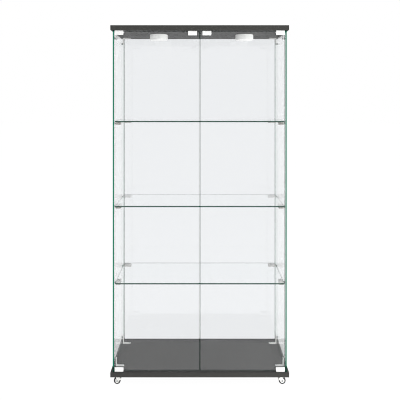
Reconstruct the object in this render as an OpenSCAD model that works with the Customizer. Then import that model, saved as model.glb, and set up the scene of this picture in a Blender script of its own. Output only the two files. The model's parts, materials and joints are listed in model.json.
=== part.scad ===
// Glass display case on casters: two boards, a frameless glass box with three
// glass shelves, a pair of pivoted glass doors that each have a magnetic push
// catch, and two round push lights under the top board.
// Millimetres, +Z up, the doors face -Y, the origin is on the floor under the
// middle of the case.

/* [Case] */
// Width of the top and bottom boards
board_w = 805; // [700:5:1000]
// Depth of the boards, front to back
board_d = 365; // [340:5:450]
// Thickness of each board
board_t = 22; // [18:1:30]
// Height from the floor to the top of the case
case_h = 1630; // [1450:10:1900]
// Eased edge of the boards
board_ease = 1; // [0.5:0.1:2]

/* [Glass] */
// Thickness of every pane and shelf
glass_t = 6; // [5:0.5:8]
// Arris ground along every glass edge
arris = 1; // [0.3:0.1:1.5]
// Overhang of the boards outside each side pane
side_overhang = 10.5; // [7:0.5:16]
// Side panes behind the front edge of the boards
side_setback = 3; // [2:0.5:5]
// Back pane in front of the back edge of the boards
back_setback = 12; // [8:1:20]
// Depth of the two grooves that hold the back pane
groove_depth = 5; // [3:0.5:8]
// Gap between the back pane and each side pane
back_side_gap = 1; // [0.5:0.5:3]
// Diameter of the bolt holes through the side panes
glass_hole_d = 8; // [7:0.5:10]

/* [Doors] */
// Doors behind the front edge of the boards
door_setback = 10; // [9:0.5:14]
// Gap between the two doors
door_gap = 3; // [2:0.5:6]
// Gap above and below each door
door_end_gap = 5; // [4:0.5:8]
// Gap between a door and its side pane
door_side_gap = 2; // [1.5:0.5:4]

/* [Hinges] */
// Length of a hinge clamp along the door
clamp_w = 40; // [32:1:50]
// Height of a hinge clamp
clamp_h = 20; // [16:1:26]
// Jaw of the clamp in front of the glass
clamp_front_t = 4.2; // [3:0.1:6]
// Jaw of the clamp behind the glass
clamp_back_t = 5.2; // [4:0.1:7]
// Height of the jaw behind the glass, which holds the set screws
clamp_back_h = 12; // [11:0.5:16]
// Gap between a clamp and its side pane
clamp_side_gap = 1.5; // [1:0.1:3]
// Gap between a clamp and its board
clamp_board_gap = 0.8; // [0.8:0.1:1.5]
// Pivot axis from the outer end of the clamp
pivot_inset = 10; // [9:0.5:11]
// Diameter of the pivot pins
pin_d = 6; // [4:0.5:7]
// Length of a pin inside its bush
pin_engage = 8; // [6:0.5:10]
// Outer diameter of the bushes let into the boards
bush_d = 10; // [9:0.5:12]
// Soft liner between the glass and a clamp
liner_t = 0.8; // [0.5:0.1:1]
// Diameter of the set screws in the clamps and strike clips
set_screw_d = 4; // [3:0.5:5]

/* [Shelves] */
// Height of the top of the lower shelf above the floor
lower_shelf_z = 462; // [400:1:500]
// Height of the top of the middle shelf above the floor
middle_shelf_z = 812.5; // [700:0.5:900]
// Height of the top of the upper shelf above the floor
upper_shelf_z = 1198.5; // [1050:0.5:1250]
// Shelf front edge behind the front edge of the boards
shelf_setback = 25; // [25:1:40]
// Gap between a shelf and each side pane
shelf_side_gap = 1.5; // [1:0.5:3]
// Gap between a shelf and the back pane
shelf_back_gap = 1; // [0.5:0.5:3]
// Long side of a shelf support
support_l = 38; // [30:1:50]
// Short side of a shelf support
support_w = 22; // [18:1:30]
// Height of a shelf support
support_h = 12; // [11:0.5:16]
// Front shelf supports behind the front edge of the boards
support_setback = 60; // [45:1:80]

/* [Corner brackets] */
// Length of each leg of a bracket
bracket_leg = 38; // [32:1:50]
// Width of a bracket
bracket_w = 14; // [11:1:20]
// Thickness of a bracket and of the wall that a glass bolt clamps
bracket_t = 3; // [2:0.5:4]
// Hole centres from the corner of a bracket
bracket_hole = 31; // [22:1:31]
// Middle of the front brackets behind the front edge of the boards
bracket_front_inset = 69; // [55:1:90]
// Middle of the rear brackets from the back edge of the boards
bracket_rear_inset = 57; // [50:1:80]

/* [Catch] */
// Width of a strike clip, which matches the hinge clamps
strike_w = 40; // [34:1:50]
// Height of a strike clip
strike_h = 20; // [16:1:24]
// Strike clip from the middle of the case
strike_inset = 12.5; // [8:0.5:20]
// Thickness of a strike clip in front of the glass
strike_front_t = 3; // [2:0.5:4]
// Thickness of a strike clip behind the glass
strike_back_t = 4.5; // [4:0.5:6]
// Thickness of a strike clip over the top edge of the glass
strike_web = 3; // [2:0.5:3]
// Width of a catch housing without its ears
catch_w = 22; // [20:1:24]
// Depth of a catch housing
catch_d = 32; // [28:1:40]
// Height of a catch housing
catch_h = 16; // [15:1:20]
// Diameter of the catch plungers
plunger_d = 9; // [8:0.5:10]
// Press-in stroke of the plungers
plunger_stroke = 2.5; // [1.5:0.5:3]
// Gap between a closed strike clip and its magnet
magnet_gap = 0.3; // [0.2:0.1:0.5]

/* [Lights] */
// Diameter of a light
light_d = 86; // [80:1:100]
// Height of a light without its lens
light_h = 26; // [26:0.5:32]
// Left light from the middle of the case
light_left_x = 197; // [150:1:260]
// Right light from the middle of the case
light_right_x = 215; // [150:1:260]
// Push travel of the lens, which is the switch
lens_travel = 2; // [1:0.5:2]
// How far the lens stands below its housing
lens_proud = 1.6; // [1:0.1:2.5]

/* [Casters] */
// Height of a caster from the floor to the board
caster_h = 45; // [44:1:50]
// Diameter of a wheel
wheel_d = 31; // [28:1:31]
// Width of a wheel
wheel_w = 14; // [12:1:18]
// Thickness of a tyre around its hub
tyre_t = 6; // [4:0.5:7]
// Wheel axle beside the swivel axis
caster_trail = 12; // [10:1:14]
// Side of the square top plate
plate_s = 38; // [36:1:44]
// Swivel axis from the end of the board
caster_inset_x = 38.5; // [30:0.5:60]
// Swivel axis from the front or back edge of the board
caster_inset_y = 37; // [30:0.5:60]

/* [Hidden] */
$fn = 48;

// Amount by which a cutter passes a face
past = 1;
// Radial clearance of a pin or plunger that turns or slides
run_clear = 0.05;
// Radial clearance of a screw or bush in its hole
hole_clear = 0.1;

// Side numbers
LEFT = -1;
RIGHT = 1;
FRONT = -1;
REAR = 1;

// Levels of the boards
base_top = caster_h + board_t;
top_under = case_h - board_t;
middle_z = (base_top + top_under) / 2;

// A plane that lies a distance behind the front edge of the boards
function behind(distance) = distance - board_d / 2;

// Glass box
side_in = board_w / 2 - side_overhang - glass_t;
side_out = side_in + glass_t;
back_in = behind(board_d - back_setback - glass_t);
back_out = back_in + glass_t;
groove_clear = 0.4;
groove_slack = 1;
back_half_w = side_in - back_side_gap;

// Doors
door_front = behind(door_setback);
door_back = door_front + glass_t;
door_out = side_in - door_side_gap;
door_in = door_gap / 2;
door_z0 = base_top + door_end_gap;
door_z1 = top_under - door_end_gap;

// Hinge clamps, for the lower right corner
clamp_ease = 0.8;
clamp_out = side_in - clamp_side_gap;
clamp_in = clamp_out - clamp_w;
clamp_y0 = door_front - liner_t - clamp_front_t;
clamp_y1 = door_back + liner_t + clamp_back_t;
clamp_z0 = base_top + clamp_board_gap;
clamp_z1 = clamp_z0 + clamp_h;
clamp_back_z1 = clamp_z0 + clamp_back_h;
pivot_x = clamp_out - pivot_inset;
pivot_y = (clamp_y0 + clamp_y1) / 2;
swing_clear = 0.4;
swing_r = side_in - pivot_x - swing_clear;
set_screw_z = (door_z0 + clamp_back_z1) / 2;
set_screw_from_pivot = 6;
set_screw_from_inner = 8;
socket_share = 0.58;
socket_r = socket_share * set_screw_d / 2;
socket_depth = 2;
liner_end = 1;
flange_t = 0.5;
flange_w = 1.5;
flange_r = bush_d / 2 + flange_w;
bush_h = pin_engage + 1;
bush_end_gap = 0.5;

// Shelves and their supports
shelf_y0 = behind(shelf_setback);
shelf_y1 = back_in - shelf_back_gap;
shelf_half_w = side_in - shelf_side_gap;
SHELF_LEVELS = [lower_shelf_z, middle_shelf_z, upper_shelf_z];
pad_t = 0.8;
pad_s = 14;
support_corner_r = 8;
support_top_t = 2.2;
support_wall = 2.4;
support_bolt_drop = 6.4;
support_front_y = behind(support_setback + support_l / 2);
support_rear_y = back_in - support_w / 2;

// Corner brackets
bracket_front_y = behind(bracket_front_inset);
bracket_rear_y = behind(board_d - bracket_rear_inset);
bracket_fillet = 3;

// Glass bolts, their caps and the wood screws
bolt_r = 2;
bolt_head_r = 3.5;
bolt_head_h = 2.2;
cap_r = 6;
cap_t = 2.5;
cap_spigot_clear = 0.2;
cap_floor = 1.2;
cap_ease = 0.8;
screw_r = 1.6;
screw_head_r = 3.5;
screw_head_h = 2.2;
screw_l = 15;

// Catch
strike_y0 = door_front - strike_front_t;
strike_y1 = door_back + strike_back_t;
strike_z1 = door_z1 + strike_web;
strike_z0 = strike_z1 - strike_h;
strike_x = strike_inset + strike_w / 2;
strike_screw_edge = 5;
strike_screw_offset = strike_w / 2 - strike_screw_edge;
strike_screw_z = (strike_z0 + door_z1) / 2;
magnet_w = 13;
magnet_h = 11;
magnet_t = 5;
magnet_y0 = strike_y1 + magnet_gap;
collar_r = 5.5;
collar_t = 2;
plunger_end_gap = 0.7;
catch_y0 = magnet_y0 + magnet_t + collar_t + plunger_stroke + plunger_end_gap;
plunger_z = top_under - catch_h / 2;
plunger_bore_floor = 4;
plunger_bore_l = catch_d - plunger_bore_floor;
plunger_l = plunger_bore_l - plunger_stroke - plunger_end_gap;
ear_margin = 1;
ear_w = 2 * (screw_head_r + ear_margin);
ear_t = 3;
ear_x = (catch_w + ear_w) / 2;
ear_y = catch_y0 + catch_d / 2;

// Lights
light_r = light_d / 2;
light_board_gap = 0.3;
light_z0 = top_under - light_h;
light_z1 = top_under - light_board_gap;
light_wall = 2.2;
light_round = 3;
light_inner_r = light_r - light_wall;
mount_t = 3;
mount_clear = 0.3;
mount_r = light_inner_r - mount_clear;
mount_screw_x = 26;
lip_t = 1.2;
lip_w = 2;
lip_r = light_inner_r - lip_w;
lens_clear = 0.3;
lens_flange_t = 1.5;
lens_z0 = light_z0 - lens_proud;
lens_flange_z = light_z0 + lip_t + lens_clear;
circuit_t = 1.6;
circuit_margin = 8;
circuit_r = light_inner_r - circuit_margin;
led_s = 5;
led_t = 0.8;
led_ring_r = 20;
led_count = 6;
circuit_z = lens_flange_z + lens_flange_t + lens_travel + lens_clear + led_t;
deck_t = 2;
deck_z = circuit_z + circuit_t;
cell_r = 5.2;
cell_l = 44.5;
cell_gap = 0.3;
cell_pitch = 2 * cell_r + cell_gap;
cell_lift = 0.1;
cell_z = deck_z + deck_t + cell_lift + cell_r;

// Casters
wheel_r = wheel_d / 2;
caster_x = board_w / 2 - caster_inset_x;
caster_y = board_d / 2 - caster_inset_y;
plate_t = 2;
plate_corner_r = 4;
plate_hole_edge = 5;
plate_hole = plate_s / 2 - plate_hole_edge;
raceway_r = 12;
raceway_flare = 1.5;
raceway_h = 3.5;
swivel_gap = 0.3;
crown_r = 11;
crown_top = caster_h - plate_t - raceway_h - swivel_gap;
kingpin_r = 3;
rivet_r = 5.2;
rivet_h = 2;
crown_t = 5;
rivet_z = crown_top - crown_t - swivel_gap - rivet_h;
tyre_round = 2;
hub_r = wheel_r - tyre_t;
axle_r = 2.5;
axle_head_r = 4;
axle_head_h = 1.2;
boss_r = 5;
web_t = 5;
rim_t = 2;
rib_t = 1.6;
rib_count = 6;
rib_below_rim = 1.5;
cheek_gap = 0.5;
cheek_t = 2.5;
cheek_y = wheel_w / 2 + cheek_gap;
fender_gap = 1.1;
fender_t = 2;
fender_r = wheel_r + fender_gap + fender_t;
fender_low_angle = 165;
fender_high_angle = 75;
fender_mid_angle = (fender_low_angle + fender_high_angle) / 2;
axle_boss_r = 5.5;

// Mirrors what is drawn for the right side onto the left
module on_side(side) {
    if (side == LEFT) mirror([1, 0, 0]) children();
    else children();
}

// Turns what is drawn at the base upside down under the top board
module at_level(upper) {
    if (upper) translate([0, 0, 2 * middle_z]) mirror([0, 0, 1]) children();
    else children();
}

// Rectangle with its four corners cut back by a small chamfer
module eased_rect(w, h, ease) {
    x = w / 2;
    y = h / 2;
    polygon([
        [x - ease, -y], [x, -y + ease], [x, y - ease], [x - ease, y],
        [-x + ease, y], [-x, y - ease], [-x, -y + ease], [-x + ease, -y]
    ]);
}

// Box between two corners with all twelve edges chamfered
module eased_box(low, high, ease) {
    size = high - low;
    translate((low + high) / 2) intersection() {
        linear_extrude(size.z, center = true) eased_rect(size.x, size.y, ease);
        rotate([90, 0, 0]) linear_extrude(size.y, center = true)
            eased_rect(size.x, size.z, ease);
        rotate([90, 0, 90]) linear_extrude(size.x, center = true)
            eased_rect(size.y, size.z, ease);
    }
}

// Plain box between two corners
module box(low, high) {
    translate(low) cube(high - low);
}

// Rectangle whose corners are rounded by r
module rounded_rect(w, h, r) {
    square([w - 2 * r, h], center = true);
    square([w, h - 2 * r], center = true);
    for (x = [-1, 1], y = [-1, 1]) translate([x * (w / 2 - r), y * (h / 2 - r)]) circle(r);
}

// Cylinder along +Y from the point it is placed at
module rod_y(r, length) {
    rotate([-90, 0, 0]) cylinder(r = r, h = length);
}

// Cylinder along +X from the point it is placed at
module rod_x(r, length) {
    rotate([0, 90, 0]) cylinder(r = r, h = length);
}

// Places of the corner brackets: corner of pane and board, foot towards the middle
module at_brackets() {
    for (side = [LEFT, RIGHT], upper = [false, true], y = [bracket_front_y, bracket_rear_y])
        on_side(side) at_level(upper) translate([side_in, y, base_top]) children();
}

// Places of the shelf supports of one shelf, at the pane, just under the pads.
// The first child is drawn at the front places and the second at the rear ones
module at_supports(shelf_top) {
    z = shelf_top - glass_t - pad_t;
    for (side = [LEFT, RIGHT]) on_side(side) {
        translate([side_in, support_front_y, z]) children(0);
        translate([side_in, support_rear_y, z]) children(1);
    }
}

// Places of every bolt through a side pane, at its inner face
module at_glass_bolts(side) {
    on_side(side) {
        for (upper = [false, true], y = [bracket_front_y, bracket_rear_y])
            at_level(upper) translate([side_in, y, base_top + bracket_hole]) children();
        for (shelf_top = SHELF_LEVELS, y = [support_front_y, support_rear_y])
            translate([side_in, y, shelf_top - glass_t - pad_t - support_bolt_drop])
                children();
    }
}

// Places of the screws in the brackets' feet, at the board, the screw pointing down
module at_bracket_screws() {
    at_brackets() translate([-bracket_hole, 0, 0]) children();
}

// Places of the screws under the top board, at the board, the screw pointing up:
// two in each catch and two in each light
module at_top_screws() {
    for (side = [LEFT, RIGHT]) {
        for (x = [-ear_x, ear_x])
            translate([side * strike_x + x, ear_y, top_under]) children(0);
        for (x = [-mount_screw_x, mount_screw_x])
            translate([light_x(side) + x, 0, top_under]) children(1);
    }
}

function light_x(side) = side == LEFT ? -light_left_x : light_right_x;

// Places of the four casters, at the floor under the swivel axis
module at_caster(side, end) {
    on_side(side) translate([caster_x, end * caster_y, 0]) children();
}

module at_casters() {
    for (side = [LEFT, RIGHT], end = [FRONT, REAR]) at_caster(side, end) children();
}

module at_plate_screws() {
    at_casters() for (x = [-1, 1], y = [-1, 1])
        translate([x * plate_hole, y * plate_hole, caster_h]) children();
}

// Hole for a wood screw that enters a board downwards
module pilot_hole() {
    translate([0, 0, -screw_l]) cylinder(r = screw_r + hole_clear, h = screw_l + past);
}

// Pan-head wood screw pointing down, with its head on z = 0
module wood_screw(length) {
    rotate_extrude() polygon([
        [0, screw_head_h], [screw_head_r * 0.6, screw_head_h * 0.85],
        [screw_head_r, screw_head_h * 0.3], [screw_head_r, 0], [screw_r, 0],
        [screw_r, -length + 2 * screw_r], [0, -length]
    ]);
}

// Board with the cuts that both boards share, drawn as the base
module grooved_board() {
    difference() {
        eased_box([-board_w / 2, -board_d / 2, caster_h],
            [board_w / 2, board_d / 2, base_top], board_ease);
        box([-back_half_w - groove_clear, back_in - groove_clear, base_top - groove_depth],
            [back_half_w + groove_clear, back_out + groove_clear, base_top + past]);
        for (side = [LEFT, RIGHT]) on_side(side)
            translate([pivot_x, pivot_y, base_top - bush_h - bush_end_gap])
                cylinder(r = bush_d / 2 + hole_clear, h = bush_h + bush_end_gap + past);
        for (side = [LEFT, RIGHT], y = [bracket_front_y, bracket_rear_y]) on_side(side)
            translate([side_in - bracket_hole, y, base_top]) pilot_hole();
    }
}

module base_board() {
    color("#4b4b49") difference() {
        grooved_board();
        at_plate_screws() mirror([0, 0, 1]) pilot_hole();
    }
}

module top_board() {
    color("#4b4b49") difference() {
        at_level(true) grooved_board();
        at_top_screws() {
            mirror([0, 0, 1]) pilot_hole();
            mirror([0, 0, 1]) pilot_hole();
        }
    }
}

module side_glass(side) {
    color("#cfe6df", 0.35) difference() {
        on_side(side) eased_box([side_in, behind(side_setback), base_top],
            [side_out, back_out, top_under], arris);
        at_glass_bolts(side) translate([-past, 0, 0])
            rod_x(glass_hole_d / 2, glass_t + 2 * past);
    }
}

module back_glass() {
    color("#cfe6df", 0.35) eased_box(
        [-back_half_w, back_in, base_top - groove_depth],
        [back_half_w, back_out, top_under + groove_depth - groove_slack], arris);
}

module door_glass(side) {
    color("#cfe6df", 0.35) on_side(side)
        eased_box([door_in, door_front, door_z0], [door_out, door_back, door_z1], arris);
}

module shelf(shelf_top) {
    color("#cfe6df", 0.35) eased_box(
        [-shelf_half_w, shelf_y0, shelf_top - glass_t],
        [shelf_half_w, shelf_y1, shelf_top], arris);
}

// One leg of a bracket: a strip along +X with a round end and a hole
module bracket_leg_outline() {
    difference() {
        union() {
            translate([0, -bracket_w / 2]) square([bracket_leg - bracket_w / 2, bracket_w]);
            translate([bracket_leg - bracket_w / 2, 0]) circle(bracket_w / 2);
        }
        translate([bracket_hole, 0]) circle(bolt_r + hole_clear);
    }
}

// Angle bracket: the foot lies on the board along -X, the upright stands on the pane
module corner_bracket() {
    mirror([1, 0, 0]) linear_extrude(bracket_t) bracket_leg_outline();
    translate([-bracket_t, 0, 0]) rotate([0, -90, 180]) linear_extrude(bracket_t)
        bracket_leg_outline();
    translate([-bracket_t, bracket_w / 2, bracket_t]) rotate([90, 0, 0])
        linear_extrude(bracket_w) difference() {
            translate([-bracket_fillet, 0]) square(bracket_fillet);
            translate([-bracket_fillet, bracket_fillet]) circle(bracket_fillet);
        }
}

module corner_brackets() {
    color("#f2f2ee") at_brackets() corner_bracket();
}

// Moulded support, open underneath, flat against the pane at x = 0. It reaches
// inwards along -X by reach and is span wide; the free corners are rounded
module shelf_support(reach, span) {
    difference() {
        translate([0, 0, -support_h]) linear_extrude(support_h)
            support_outline(reach, span, 0);
        translate([0, 0, -support_h - past])
            linear_extrude(support_h + past - support_top_t)
                support_outline(reach, span, support_wall);
        translate([-bracket_t - past, 0, -support_bolt_drop])
            rod_x(bolt_r + hole_clear, bracket_t + 2 * past);
    }
}

// Plan of a support, or of its hollow when wall is its wall thickness
module support_outline(reach, span, wall) {
    r = support_corner_r - wall;
    inner = wall > 0 ? bracket_t : 0;
    half = span / 2 - wall;
    translate([-reach + wall + r, -half]) square([reach - wall - r - inner, 2 * half]);
    translate([-reach + wall, -half + r]) square([r, 2 * (half - r)]);
    for (y = [-1, 1]) translate([-reach + wall + r, y * (half - r)]) circle(r);
}

module shelf_supports(shelf_top) {
    color("#c9cfcd", 0.7) at_supports(shelf_top) {
        shelf_support(support_w, support_l);
        shelf_support(support_l, support_w);
    }
}

// Round silicone pad between a support and its shelf
module shelf_pad(reach) {
    translate([-reach / 2, 0, 0]) cylinder(d = pad_s, h = pad_t);
}

module shelf_pads() {
    color("#e6e9e8", 0.8) for (shelf_top = SHELF_LEVELS) at_supports(shelf_top) {
        shelf_pad(support_w);
        shelf_pad(support_l);
    }
}

// Bolt with a domed head inside the case and its shank through the pane
module glass_bolt() {
    translate([-bracket_t, 0, 0]) rotate([0, 90, 0]) rotate_extrude() polygon([
        [0, -bolt_head_h], [bolt_head_r * 0.6, -bolt_head_h * 0.85],
        [bolt_head_r, -bolt_head_h * 0.3], [bolt_head_r, 0], [bolt_r, 0],
        [bolt_r, bracket_t + glass_t + cap_t - cap_floor - hole_clear],
        [0, bracket_t + glass_t + cap_t - cap_floor - hole_clear]
    ]);
}

// Cap nut on the outside of the pane, with a spigot that fills the glass hole
module bolt_cap() {
    spigot_r = glass_hole_d / 2 - cap_spigot_clear;
    rotate([0, 90, 0]) rotate_extrude() polygon([
        [bolt_r + hole_clear, cap_spigot_clear], [spigot_r, cap_spigot_clear],
        [spigot_r, glass_t], [cap_r, glass_t], [cap_r, glass_t + cap_t - cap_ease],
        [cap_r - cap_ease, glass_t + cap_t], [0, glass_t + cap_t],
        [0, glass_t + cap_t - cap_floor], [bolt_r + hole_clear, glass_t + cap_t - cap_floor]
    ]);
}

module glass_bolts() {
    color("#dfe2e2") for (side = [LEFT, RIGHT]) at_glass_bolts(side) glass_bolt();
}

module bolt_caps() {
    color("#dfe2e2") for (side = [LEFT, RIGHT]) at_glass_bolts(side) bolt_cap();
}

module board_screws() {
    color("#c4c7c8") {
        at_bracket_screws() translate([0, 0, bracket_t]) wood_screw(screw_l);
        at_top_screws() {
            mirror([0, 0, 1]) translate([0, 0, ear_t]) wood_screw(screw_l);
            mirror([0, 0, 1]) translate([0, 0, mount_t]) wood_screw(screw_l);
        }
        at_plate_screws() mirror([0, 0, 1]) translate([0, 0, plate_t])
            wood_screw(screw_l);
    }
}

// Flanged bush let into the board, around the pivot axis
module hinge_bush() {
    translate([pivot_x, pivot_y, base_top]) rotate_extrude() polygon([
        [pin_d / 2 + run_clear, -bush_h], [bush_d / 2, -bush_h], [bush_d / 2, 0],
        [flange_r, 0], [flange_r, flange_t], [pin_d / 2 + run_clear, flange_t]
    ]);
}

module hinge_bushes() {
    color("#e9e9e4") for (side = [LEFT, RIGHT], upper = [false, true])
        on_side(side) at_level(upper) hinge_bush();
}

// Clamp whose outer end is rounded about the pivot, so that it turns past the pane
module hinge_clamp(side, upper) {
    color("#f4f4f2") on_side(side) at_level(upper) difference() {
        intersection() {
            eased_box([clamp_in, clamp_y0, clamp_z0], [clamp_out, clamp_y1, clamp_z1],
                clamp_ease);
            union() {
                translate([pivot_x, pivot_y, clamp_z0 - past])
                    cylinder(r = swing_r, h = clamp_h + 2 * past, $fn = 96);
                box([clamp_in - past, clamp_y0 - past, clamp_z0 - past],
                    [pivot_x, clamp_y1 + past, clamp_z1 + past]);
            }
        }
        box([clamp_in - past, door_front - liner_t, door_z0 - liner_t],
            [clamp_out + past, door_back + liner_t, clamp_z1 + past]);
        box([clamp_in - past, door_back, clamp_back_z1],
            [clamp_out + past, clamp_y1 + past, clamp_z1 + past]);
        translate([pivot_x, pivot_y, clamp_z0 - past])
            cylinder(r = pin_d / 2 + run_clear, h = door_end_gap + past);
        for (x = [clamp_in + set_screw_from_inner, pivot_x - set_screw_from_pivot])
            translate([x, door_back, set_screw_z])
                rod_y(set_screw_d / 2 + run_clear, glass_t + clamp_back_t);
    }
}

// Soft channel between the clamp and the edge of the glass
module clamp_liner() {
    difference() {
        box([clamp_in + liner_end, door_front - liner_t, door_z0 - liner_t],
            [clamp_out - liner_end, door_back + liner_t, clamp_z1 - clamp_ease]);
        box([clamp_in, door_front, door_z0], [clamp_out, door_back, clamp_z1]);
        box([clamp_in, door_back - past, clamp_back_z1 - clamp_ease],
            [clamp_out, clamp_y1, clamp_z1]);
    }
}

module clamp_liners(side) {
    color("#3c3f40") for (upper = [false, true]) on_side(side) at_level(upper)
        clamp_liner();
}

// Set screw along +Y with a hexagon socket in its rear end
module set_screw(length) {
    difference() {
        rod_y(set_screw_d / 2, length);
        translate([0, length - socket_depth, 0]) rotate([-90, 0, 0])
            cylinder(r = socket_r, h = socket_depth + past, $fn = 6);
    }
}

module set_screws(side) {
    color("#5b5e60") on_side(side) {
        for (upper = [false, true]) at_level(upper)
            for (x = [clamp_in + set_screw_from_inner, pivot_x - set_screw_from_pivot])
                translate([x, door_back + liner_t, set_screw_z]) set_screw(clamp_back_t);
        for (x = [-strike_screw_offset, strike_screw_offset])
            translate([strike_x + x, door_back, strike_screw_z]) set_screw(strike_back_t);
    }
}

// Pins held in the clamps and turning in the bushes
module pivot_pins(side) {
    color("#b9bdc0") for (upper = [false, true]) on_side(side) at_level(upper)
        translate([pivot_x, pivot_y, base_top - pin_engage])
            cylinder(r = pin_d / 2, h = pin_engage + door_end_gap - liner_t);
}

// Clip over the top edge of the door glass; the magnet holds its rear face
module strike_clip(side) {
    color("#f4f4f2") on_side(side) difference() {
        eased_box([strike_x - strike_w / 2, strike_y0, strike_z0],
            [strike_x + strike_w / 2, strike_y1, strike_z1], clamp_ease);
        box([strike_x - strike_w, door_front, strike_z0 - past],
            [strike_x + strike_w, door_back, door_z1]);
        for (x = [-strike_screw_offset, strike_screw_offset])
            translate([strike_x + x, door_back - past, strike_screw_z])
                rod_y(set_screw_d / 2 + run_clear, strike_back_t + 2 * past);
    }
}

// Catch housings under the top board, one behind each strike clip, with two ears each
module catch_housings() {
    color("#2b2c2d") for (side = [LEFT, RIGHT]) translate([side * strike_x, 0, 0])
        difference() {
            union() {
                eased_box([-catch_w / 2, catch_y0, top_under - catch_h],
                    [catch_w / 2, catch_y0 + catch_d, top_under], clamp_ease);
                translate([0, ear_y, top_under - ear_t]) linear_extrude(ear_t) {
                    square([2 * ear_x, ear_w], center = true);
                    for (x = [-ear_x, ear_x]) translate([x, 0]) circle(ear_w / 2);
                }
            }
            translate([0, catch_y0 - past, plunger_z])
                rod_y(plunger_d / 2 + run_clear, plunger_bore_l + past);
            for (x = [-ear_x, ear_x])
                translate([x, ear_y, top_under - ear_t - past])
                    cylinder(r = screw_r + hole_clear, h = ear_t + 2 * past);
        }
}

// Plunger with the collar that carries its magnet
module catch_plunger(side) {
    color("#d9d9d5") translate([side * strike_x, magnet_y0 + magnet_t, plunger_z]) {
        rod_y(collar_r, collar_t);
        rod_y(plunger_d / 2, catch_y0 - magnet_y0 - magnet_t + plunger_l);
    }
}

module catch_magnet(side) {
    color("#8d9092") eased_box(
        [side * strike_x - magnet_w / 2, magnet_y0, plunger_z - magnet_h / 2],
        [side * strike_x + magnet_w / 2, magnet_y0 + magnet_t, plunger_z + magnet_h / 2],
        clamp_ease);
}

// Mounting discs screwed under the top board
module light_mounts() {
    color("#f0f0ec") for (side = [LEFT, RIGHT]) difference() {
        translate([light_x(side), 0, top_under - mount_t]) cylinder(r = mount_r, h = mount_t);
        for (x = [-mount_screw_x, mount_screw_x])
            translate([light_x(side) + x, 0, top_under - mount_t - past])
                cylinder(r = screw_r + hole_clear, h = mount_t + 2 * past);
    }
}

// Round shell with a lip that keeps the lens in and a deck for the cells
module light_housing(side) {
    color("#f2f2ee") translate([light_x(side), 0, 0]) rotate_extrude($fn = 96)
        difference() {
            union() {
                translate([0, light_z0 + light_round])
                    square([light_r, light_z1 - light_z0 - light_round]);
                translate([0, light_z0]) square([light_r - light_round, light_round]);
                translate([light_r - light_round, light_z0 + light_round])
                    circle(light_round);
            }
            translate([-past, light_z0 - past]) square([lip_r + past, lip_t + 2 * past]);
            translate([-past, light_z0 + lip_t])
                square([light_inner_r + past, deck_z - light_z0 - lip_t]);
            translate([-past, deck_z + deck_t])
                square([light_inner_r + past, light_z1 - deck_z - deck_t + past]);
            translate([-light_r, light_z0 - past]) square([light_r, light_h + 2 * past]);
        }
}

// Circuit boards with their ring of light-emitting diodes
module light_circuits() {
    color("#e8ecd8") for (side = [LEFT, RIGHT]) translate([light_x(side), 0, circuit_z]) {
        cylinder(r = circuit_r, h = circuit_t);
        for (n = [0:led_count - 1]) rotate(n * 360 / led_count)
            translate([led_ring_r, 0, -led_t / 2]) cube([led_s, led_s, led_t], center = true);
    }
}

// Three cells lying on the deck of each light
module light_batteries() {
    color("#7d8386") for (side = [LEFT, RIGHT], n = [-1:1])
        translate([light_x(side) + n * cell_pitch, -cell_l / 2, cell_z])
            rod_y(cell_r, cell_l);
}

// Push lens: a shallow dome with a flange above the lip of the housing
module light_lens(side) {
    rim_r = lip_r - lens_clear;
    dome_drop = 0.8;
    lens_t = 1.6;
    shoulder = 1.2;
    color("#fdfdfb") translate([light_x(side), 0, 0]) rotate_extrude($fn = 96) polygon([
        [0, lens_z0], [rim_r * 0.6, lens_z0 + dome_drop * 0.36],
        [rim_r - shoulder, lens_z0 + dome_drop], [rim_r, lens_z0 + dome_drop + shoulder],
        [rim_r, lens_flange_z], [rim_r + lip_w, lens_flange_z],
        [rim_r + lip_w, lens_flange_z + lens_flange_t],
        [rim_r - lens_t, lens_flange_z + lens_flange_t],
        [rim_r - lens_t, lens_z0 + dome_drop + lens_t], [0, lens_z0 + lens_t]
    ]);
}

// Top plate with its pressed raceway and the kingpin riveted in it
module caster_plate() {
    translate([0, 0, caster_h - plate_t]) linear_extrude(plate_t) difference() {
        rounded_rect(plate_s, plate_s, plate_corner_r);
        for (x = [-1, 1], y = [-1, 1])
            translate([x * plate_hole, y * plate_hole]) circle(screw_r + hole_clear);
    }
    translate([0, 0, crown_top + swivel_gap])
        cylinder(r1 = raceway_r, r2 = raceway_r + raceway_flare, h = raceway_h);
    translate([0, 0, rivet_z]) cylinder(r = kingpin_r, h = caster_h - rivet_z - plate_t);
    translate([0, 0, rivet_z]) cylinder(r = rivet_r, h = rivet_h);
}

module caster_plates() {
    color("#b9bdc0") at_casters() caster_plate();
}

// Outline of a cheek: a fender sector over the wheel joined to a boss at the axle
module cheek_outline() {
    reach = 2 * fender_r;
    intersection() {
        circle(fender_r, $fn = 96);
        polygon([
            [0, 0], reach * [cos(fender_high_angle), sin(fender_high_angle)],
            reach * [cos(fender_mid_angle), sin(fender_mid_angle)],
            reach * [cos(fender_low_angle), sin(fender_low_angle)]
        ]);
    }
    circle(axle_boss_r);
}

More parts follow.
